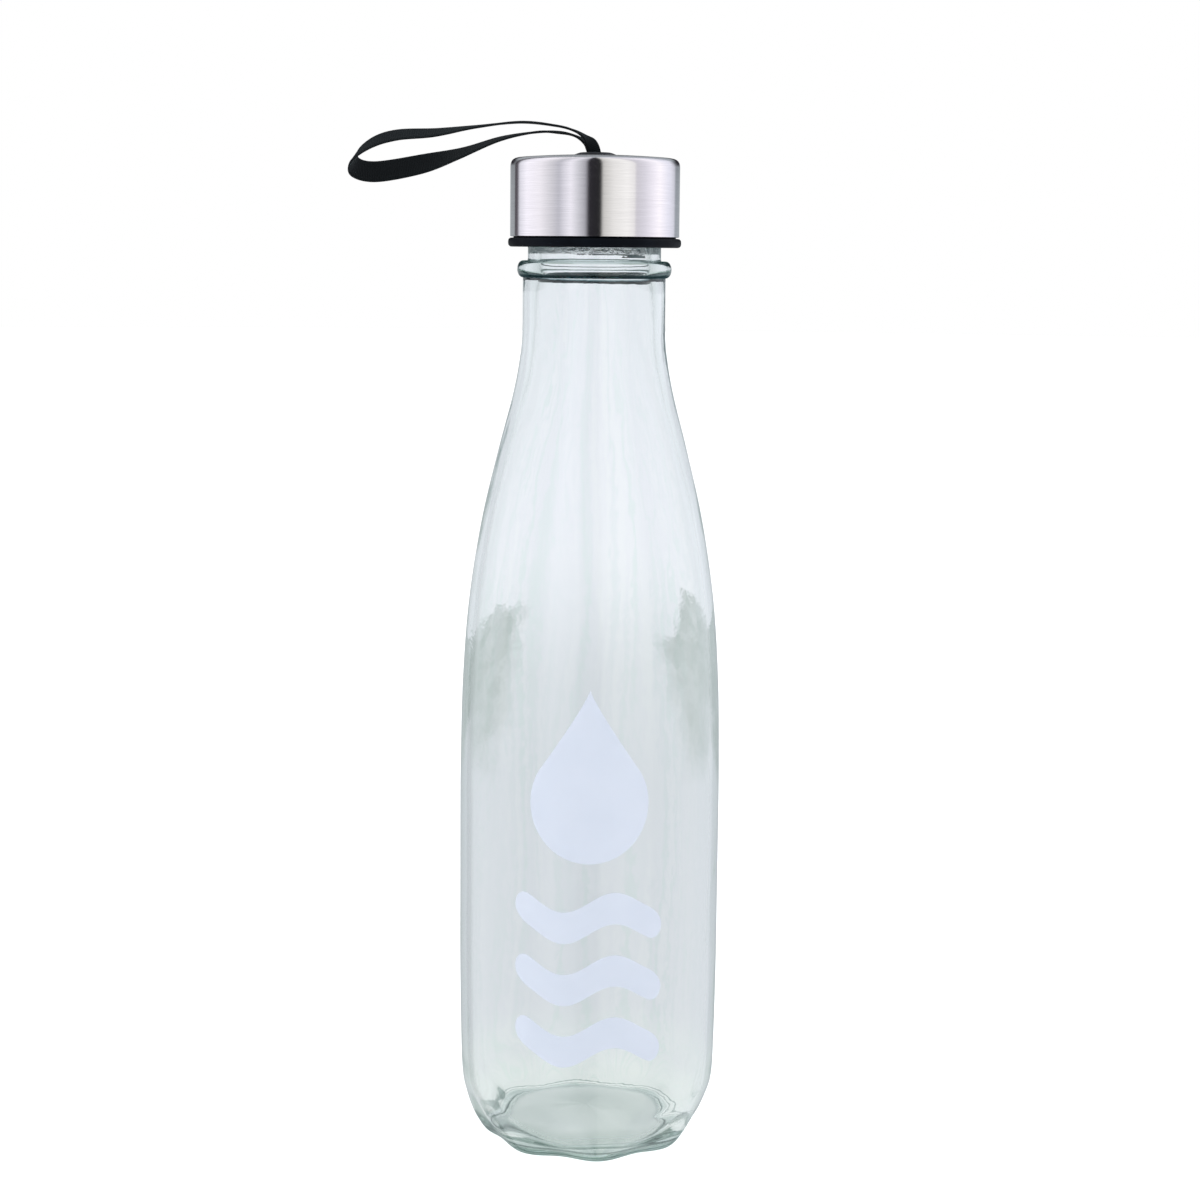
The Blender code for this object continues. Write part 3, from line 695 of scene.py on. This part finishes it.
def printed_decoration(mat):
    """A drop above three waves, on the front."""
    for number, height in enumerate(WAVE_HEIGHTS, 1):
        ink_patch(f"print_wave_{number}", wave_rows(height), mat)
    ink_patch("print_drop", drop_rows(), mat)


# ---------------------------------------------------------------- cap
def crown(r, top):
    """Height of a domed face at a radius, when its middle is at top."""
    return top - CROWN * (r / CROWN_R) ** 2


def cap_shell(mat):
    """Drawn steel: a domed top with the strap's hole, a rounded corner and a plain lower edge."""
    radii = [SHELL_HOLE_R + (TOP_R - SHELL_HOLE_R) * k / TOP_RINGS for k in range(TOP_RINGS + 1)]
    edge = crown(SHELL_R, SHELL_TOP)
    outer = [(r, crown(r, SHELL_TOP), 0) for r in radii]
    outer += [(SHELL_R, edge + 0.05, SHELL_CORNER), (SHELL_R, SHELL_LOW, SHELL_HEM)]
    inner_r = SHELL_R - SHELL_T
    inner = [(inner_r, SHELL_LOW, SHELL_HEM), (inner_r, edge - SHELL_T, SHELL_CORNER - SHELL_T)]
    inner += [(r, crown(r, SHELL_TOP - SHELL_T), 0) for r in reversed(radii)]
    piece = turned("cap_steel", softened(outer + inner, steps=9), CAP_STEPS, mat)
    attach(piece, "cap")
    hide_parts("cap_shell")


def press_liner(r, z, angle):
    """The liner's own thread stands inwards, half a lead above the glass thread."""
    if abs(r - LINER_BORE_R) < 0.01:
        rise = thread_rise(z - LEAD / 2, angle, LINER_THREAD_START, LINER_THREAD_TURNS,
                           LINER_THREAD_HEIGHT)
        return r - rise, z
    return r, z


def cap_liner(mat):
    """A plastic cup: closed above, a flange below the steel's edge, and its own thread inside."""
    middle = (FLANGE_LOW + FLANGE_HIGH) / 2
    outside = softened([(LINER_R - 4, LINER_TOP, 0), (LINER_R, LINER_TOP, 0.9),
                        (LINER_R, FLANGE_HIGH, 0.15), (FLANGE_R, FLANGE_HIGH, 0.95),
                        (FLANGE_R, middle, 0), (FLANGE_R, FLANGE_LOW, 1.0),
                        (LINER_BORE_R, FLANGE_LOW, 0.55), (LINER_BORE_R, middle, 0)], steps=7)[1:]
    bore = filled([(LINER_BORE_R, middle), (LINER_BORE_R, LINER_CEILING)], THREAD_STEP)
    outline = [Vector((0.0, LINER_TOP)), Vector((8.0, LINER_TOP))] + outside[:-1] + bore
    outline += [Vector((9.0, LINER_CEILING)), Vector((0.0, LINER_CEILING))]
    piece = turned("cap_inner", outline, CAP_STEPS, mat, press_liner)
    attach(piece, "cap")
    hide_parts("cap_liner")


def seal(mat):
    """A silicone washer with a lip that reaches down inside the mouth."""
    outline = softened([(SEAL_HOLE_R, SEAL_HIGH, 0.25), (SEAL_R, SEAL_HIGH, 0.3),
                        (SEAL_R, SEAL_LOW, 0.3), (SEAL_LIP_R, SEAL_LOW, 0.2),
                        (SEAL_LIP_R, SEAL_LIP_LOW, 0.45), (SEAL_HOLE_R, SEAL_LIP_LOW, 0.2)])
    piece = turned("seal_washer", outline, CAP_STEPS, mat)
    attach(piece, "seal")
    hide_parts("seal_ring")


def eyelet(mat):
    """A black eyelet through the shell's hole: a sloped disc above and a small head below."""
    seat = crown(EYELET_R, SHELL_TOP) + 0.02
    outline = softened([(EYELET_BORE_R, EYELET_TOP, 0.3), (EYELET_BORE_R + 1.3, EYELET_TOP, 0.5),
                        (EYELET_R, seat + 0.12, 0.1), (EYELET_R, seat, 0),
                        (EYELET_BARREL_R, seat, 0), (EYELET_BARREL_R, EYELET_LOW + 0.55, 0),
                        (EYELET_FOOT_R, EYELET_LOW + 0.5, 0.15), (EYELET_FOOT_R, EYELET_LOW, 0.15),
                        (EYELET_BORE_R, EYELET_LOW, 0.3)])
    piece = turned("eyelet", outline, SMALL_STEPS, mat)
    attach(piece, "cap")
    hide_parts("strap_eyelet")


def ferrule(mat):
    """The crimp inside the cap keeps its modelled shape and gets its own metal."""
    node = frame["nodes"]["strap_ferrule"]
    node.data.materials.clear()
    node.data.materials.append(mat)


# ---------------------------------------------------------------- ribbon
RIBBON_STEPS = 16                              # rungs between two stations
ACROSS = 12                                    # faces across one side
SELVAGE_T = 0.12                               # extra thickness at the woven edge
STRETCHED_X = -3.0                             # beyond this the loop is stretched to its full reach


def ribbon_section(half_width):
    """The cut across the ribbon: (across, up) round a flat strip with thicker rounded edges."""
    section = []
    for k in range(ACROSS + 1):
        s = -1 + 2 * k / ACROSS
        edge = smoothstep(0.72, 0.9, abs(s)) * (1 - smoothstep(0.93, 1.0, abs(s)) * 0.75)
        up = (RIBBON_T + SELVAGE_T * edge) / 2
        if k in (0, ACROSS):
            up *= 0.55
        section.append((s * half_width, up))
    return section + [(s, -up) for s, up in reversed(section)]


def ribbon_rungs():
    """Along the ribbon: rings of (point from the fold, distance across), and how far along each is."""
    places = [station[:3] for station in RIBBON]
    widths = [(station[3], 0.0, 0.0) for station in RIBBON]
    across = [station[4] for station in RIBBON]
    params = [i / RIBBON_STEPS for i in range(RIBBON_STEPS * (len(RIBBON) - 1) + 1)]
    line = [hermite(places, u) for u in params]
    rings, lengths = [], [0.0]
    for i, u in enumerate(params):
        if i:
            lengths.append(lengths[-1] + (line[i] - line[i - 1]).length)
        tangent = (line[min(i + 1, len(line) - 1)] - line[max(i - 1, 0)]).normalized()
        side = hermite(across, u)
        side = (side - tangent * side.dot(tangent)).normalized()
        up = tangent.cross(side)
        half = hermite(widths, u).x / 2
        rings.append([(line[i] + side * s + up * t, s) for s, t in ribbon_section(half)])
    return rings, lengths


def ribbon(mat):
    """One closed strip from the ferrule round the loop and back. Its uv is (across, along) in mm."""
    origin = Vector((AXIS_X, 0.0, PIVOT_Z))
    rungs, lengths = ribbon_rungs()
    stretch = LOOP_REACH / -min(point.x for ring in rungs for point, _ in ring)
    bm = bmesh.new()
    uv = bm.loops.layers.uv.new("strip")
    rings, coords = [], {}
    for rung, length in zip(rungs, lengths):
        ring = []
        for point, s in rung:
            x = point.x * stretch if point.x < STRETCHED_X else point.x
            vertex = bm.verts.new((origin + Vector((x, point.y, point.z))) * MM)
            coords[vertex] = (s, length)
            ring.append(vertex)
        rings.append(ring)
    skin(bm, rings, wrap_rings=False)
    for ring in (rings[0], rings[-1]):
        bm.faces.new(ring)
    for face in bm.faces:
        for loop in face.loops:
            loop[uv].uv = coords[loop.vert]
    piece = finish_piece("ribbon_loop", bm, mat, sharp=60)
    piece.visible_glossy = False
    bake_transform(piece)
    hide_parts("strap_root", "strap_loop")


# ---------------------------------------------------------------- stage, light and camera
CAMERA_DISTANCE, CAMERA_Z = 576.0, 222.6
CAMERA_DOWN, CAMERA_ROLL = 8.5, 0.53           # degrees
LENS, SENSOR, SHIFT_X = 70.2, 36.0, 0.00725

# Brightness round the horizon. Degrees from the camera's side, positive to the right.
ROOM = ((-180, (0.42, 0.45, 0.47)), (-142, (0.42, 0.45, 0.47)), (-138, (0.1, 0.09, 0.1)),
        (-130, (0.16, 0.15, 0.17)), (-124, (0.9, 0.9, 0.97)), (-106, (1.25, 1.22, 1.3)),
        (-80, (1.15, 1.12, 1.17)), (-62, (0.85, 0.84, 0.88)), (-50, (0.66, 0.66, 0.72)),
        (-42, (0.92, 0.91, 0.98)), (-33, (1.15, 1.13, 1.2)), (-24, (0.85, 0.85, 0.9)),
        (-13, (0.5, 0.5, 0.54)), (-8.5, (0.03, 0.028, 0.034)), (8, (0.022, 0.022, 0.024)),
        (11, (0.75, 0.74, 0.7)), (26, (1.05, 1.04, 1.0)), (44, (1.2, 1.19, 1.15)),
        (55, (1.08, 1.06, 1.04)), (58, (0.8, 0.78, 0.83)), (70, (0.9, 0.88, 0.95)),
        (88, (1.2, 1.16, 1.24)), (98, (1.35, 1.3, 1.35)), (118, (1.05, 1.05, 1.16)),
        (136, (0.85, 0.86, 0.95)), (142, (0.42, 0.46, 0.5)), (180, (0.42, 0.45, 0.47)))
ZENITH = (1.5, 1.52, 1.55)
# Brightness seen through the glass, by how far round from the camera's side towards the back (0 to 1).
BEHIND = ((0.0, (0.9, 0.93, 0.97)), (0.2, (0.86, 0.9, 0.93)), (0.35, (0.46, 0.52, 0.52)),
          (0.6, (0.58, 0.64, 0.65)), (0.78, (0.86, 0.9, 0.94)), (0.86, (0.94, 0.965, 1.02)),
          (1.0, (0.94, 0.965, 1.02)))
OVERHEAD = (0.16, 0.21, 0.21)
# What the steel's domed top mirrors, and how much of it shows by how steeply the mirrored ray rises.
HIGH_BACK, HIGH_BACK_STRIP = (0.03, 0.028, 0.034), ((0.03, 0.0), (0.1, 1.0), (0.26, 1.0), (0.4, 0.0))
# Painted glow of the floor seen through the glass, by distance from the bottle, from 0 to its reach
# (m).
THROUGH_FLOOR_REACH = 2.0
THROUGH_FLOOR = ((0.0, (0.81, 0.87, 0.85)), (0.02, (0.81, 0.87, 0.85)), (0.05, (0.72, 0.755, 0.79)),
                 (0.2, (0.71, 0.75, 0.785)), (0.33, (0.75, 0.79, 0.82)), (0.5, (0.86, 0.9, 0.935)),
                 (0.65, (0.93, 0.96, 1.0)), (1.0, (0.94, 0.965, 1.02)))
FAR = (0.6, 1.8)                               # over this stretch of floor, metres, BEHIND takes over
# Painted dark patches in the floor's glow, seen through the glass to the left and right behind.
# Distances from the bottle in metres: how far to the side and how far back they begin, and how far back
# they end on the left and (rising) on the right.
PAINTED_PATCH_TONE = (0.45, 0.52, 0.5)
PATCH_SIDE, PATCH_NEAR = (0.065, 0.1), (0.38, 0.46)
PATCH_END_LEFT, PATCH_END_RIGHT, PATCH_RISE = 0.95, (0.78, 1.13), (0.1, 0.19)
FLOOR_SHEET_R = 6.0
LIGHT_AIM_Z = 0.12


def cards(g, x, y):
    """For a direction with level parts x and y: how far round to the back it is, and the room there."""
    turn = g.math("ARCTAN2", x, g.math("MULTIPLY", y, -1.0))
    stops = [((degrees + 180) / 360, colour) for degrees, colour in ROOM]
    round_back = g.math("DIVIDE", g.math("ABSOLUTE", turn), math.pi)
    return round_back, g.ramp(g.scale(turn, -math.pi, math.pi, 0.0, 1.0), stops)


def streaks(g, side, up):
    """Faint upright streaks of tone in the light seen behind through the glass and in the floor's
    painted glow, from the sight line's side and up parts.
    """
    wander = g.noise(g.combine(g.math("MULTIPLY", side, 105.0), g.math("MULTIPLY", up, 4.0), 0.0),
                     1.0, 2.0)
    return g.ramp(wander, ((0.36, (0.9, 0.95, 0.935)), (0.5, (0.97, 0.965, 0.985)),
                           (0.64, (1.0, 1.0, 1.0))))


def room_light():
    """A pale room with soft cards. What the camera sees directly is plain white."""
    world = bpy.data.worlds.new("studio")
    bpy.context.scene.world = world
    g = Graph(world)
    direction = g.node("TexCoord").outputs["Generated"]
    parts = g.node("SeparateXYZ", {0: direction}).outputs
    round_back, bands = cards(g, parts[0], parts[1])
    path = g.node("LightPath").outputs
    sky = g.math("MULTIPLY", g.scale(parts[2], 0.3, 0.6, 0.0, 1.0), path["Is Diffuse Ray"])
    strip = g.ramp(parts[2], HIGH_BACK_STRIP)
    high_back = g.math("MULTIPLY", strip, g.scale(round_back, 0.7, 0.85, 0.0, 1.0))
    room = g.mix(sky, bands, (*ZENITH, 1))
    room = g.mix(g.math("MULTIPLY", high_back, path["Is Glossy Ray"]), room, (*HIGH_BACK, 1))
    overhead = g.scale(parts[2], 0.4, 0.65, 0.0, 1.0)
    behind = g.mix(1.0, g.ramp(round_back, BEHIND), streaks(g, parts[0], parts[2]), "MULTIPLY")
    behind = g.mix(overhead, behind, (*OVERHEAD, 1))
    indirect = g.mix(path["Is Transmission Ray"], room, behind)
    colour = g.mix(path["Is Camera Ray"], indirect, (1, 1, 1, 1))
    shader = g.node("Background", {"Color": colour, "Strength": 1.0}).outputs[0]
    g.node("OutputWorld", {"Surface": shader})


def sight_line(g):
    """The parts of the direction in which the shaded point is looked at."""
    incoming = g.node("NewGeometry").outputs["Incoming"]
    away = g.node("VectorMath", {0: incoming, "Scale": -1.0}, operation="SCALE").outputs[0]
    return g.node("SeparateXYZ", {0: away}).outputs


def painted_patches(g, here):
    """Where the painted dark patches lie on the floor behind the bottle, 0 to 1, with ragged outlines
    and cloudy insides.
    """
    parts = g.node("SeparateXYZ", {0: here}).outputs
    ragged = g.math("MULTIPLY", g.math("SUBTRACT", g.noise(here, 7.0, 6.0, 0.65), 0.5), 0.16)
    side = g.math("ADD", g.math("ABSOLUTE", parts[0]), g.math("MULTIPLY", ragged, 0.4))
    depth = g.math("ADD", parts[1], ragged)
    right = g.scale(parts[0], *PATCH_RISE, *PATCH_END_RIGHT)
    end = g.mix(g.math("GREATER_THAN", parts[0], 0.0), (PATCH_END_LEFT,) * 3 + (1,), right)
    before_end = g.scale(g.math("SUBTRACT", depth, end), -0.03, 0.03, 1.0, 0.0)
    inside = g.math("MULTIPLY", g.scale(side, *PATCH_SIDE, 0.0, 1.0),
                    g.math("MULTIPLY", g.scale(depth, *PATCH_NEAR, 0.0, 1.0), before_end))
    return g.math("MULTIPLY", inside, g.scale(g.noise(here, 16.0, 4.0), 0.3, 0.7, 0.6, 1.1))


def floor_material():
    """Pale paper for the camera; for glass and metal, a painted glow with the tones that they would
    show in a room: a painted reflection of the room's cards, and painted tones seen through the glass.
    """
    mat, g = new_material("floor")
    here = g.node("TexCoord").outputs["Object"]
    sight = sight_line(g)
    round_back, reflected = cards(g, sight[0], sight[1])
    away = g.node("VectorMath", {0: here}, operation="LENGTH").outputs["Value"]
    tone = g.ramp(g.scale(away, 0.0, THROUGH_FLOOR_REACH, 0.0, 1.0), THROUGH_FLOOR)
    tone = g.mix(g.scale(away, *FAR, 0.0, 1.0), tone, g.ramp(round_back, BEHIND))
    # Painted dark patches and streaks in the glow that is seen through the glass.
    seen_through = g.mix(g.math("MULTIPLY", painted_patches(g, here), 0.9), tone, (*PAINTED_PATCH_TONE, 1))
    seen_through = g.mix(1.0, seen_through, streaks(g, sight[0], sight[2]), "MULTIPLY")
    path = g.node("LightPath").outputs
    # The floor glows: a painted reflection for glossy rays, painted tones for rays through the glass.
    glow_colour = g.mix(path["Is Transmission Ray"], reflected, seen_through)
    glow = g.node("Emission", {"Color": glow_colour, "Strength": 1.0}).outputs[0]
    speck = g.noise(here, 400.0, 3.0)
    paper = g.mix(speck, (0.9, 0.9, 0.9, 1), (0.94, 0.94, 0.94, 1))
    sheet = g.node("BsdfDiffuse", {"Color": paper}).outputs[0]
    direct = g.math("MAXIMUM", path["Is Camera Ray"], path["Is Diffuse Ray"])
    g.output(g.node("MixShader", {0: direct, 1: glow, 2: sheet}).outputs[0])
    return mat


def floor():
    """A wide pale sheet, centred below the bottle."""
    bm = bmesh.new()
    bmesh.ops.create_circle(bm, cap_ends=True, segments=96, radius=FLOOR_SHEET_R)
    sheet = finish_piece("floor", bm, floor_material())
    sheet.location = (AXIS_X * MM, 0.0, 0.0)


def soft_light(name, position, size, power):
    """A rectangular lamp aimed at the bottle's middle, itself unseen. Metres and watts."""
    light = bpy.data.lights.new(name, "AREA")
    light.shape = "RECTANGLE"
    light.size, light.size_y = size
    light.energy = power
    obj = bpy.data.objects.new(name, light)
    obj.location = position
    aim = Vector((AXIS_X * MM, 0.0, LIGHT_AIM_Z)) - Vector(position)
    obj.rotation_euler = aim.to_track_quat("-Z", "Y").to_euler()
    obj.visible_camera = False
    obj.visible_glossy = False
    obj.visible_transmission = False
    bpy.context.scene.collection.objects.link(obj)


def camera():
    """In front, about level with the cap's lower edge, looking down at the bottle."""
    data = bpy.data.cameras.new("camera")
    data.lens, data.sensor_width, data.shift_x = LENS, SENSOR, SHIFT_X
    obj = bpy.data.objects.new("camera", data)
    down = Matrix.Rotation(math.radians(90 - CAMERA_DOWN), 4, "X")
    roll = Matrix.Rotation(math.radians(CAMERA_ROLL), 4, "Z")
    at = Vector((AXIS_X, -CAMERA_DISTANCE, CAMERA_Z)) * MM
    obj.matrix_world = Matrix.Translation(at) @ down @ roll
    bpy.context.scene.collection.objects.link(obj)
    bpy.context.scene.camera = obj


# ---------------------------------------------------------------- build
black = plastic_material("black_plastic", (0.0012, 0.002, 0.0035), (0.003, 0.0045, 0.007), 0.45, 0.04)
satin = plastic_material("eyelet_plastic", (0.003, 0.004, 0.006), (0.007, 0.008, 0.011), 0.4, 0.1)

glass_bottle(glass_material())
printed_decoration(ink_material())
cap_shell(steel_material())
cap_liner(black)
eyelet(satin)
seal(silicone_material())
ribbon(ribbon_material())
ferrule(crimp_material())

room_light()
floor()
soft_light("key", (-0.75, -0.55, 0.85), (0.5, 0.7), 5.0)
soft_light("fill", (0.9, -0.2, 0.6), (0.4, 0.8), 2.5)
camera()
bpy.context.scene.view_settings.view_transform = "Standard"
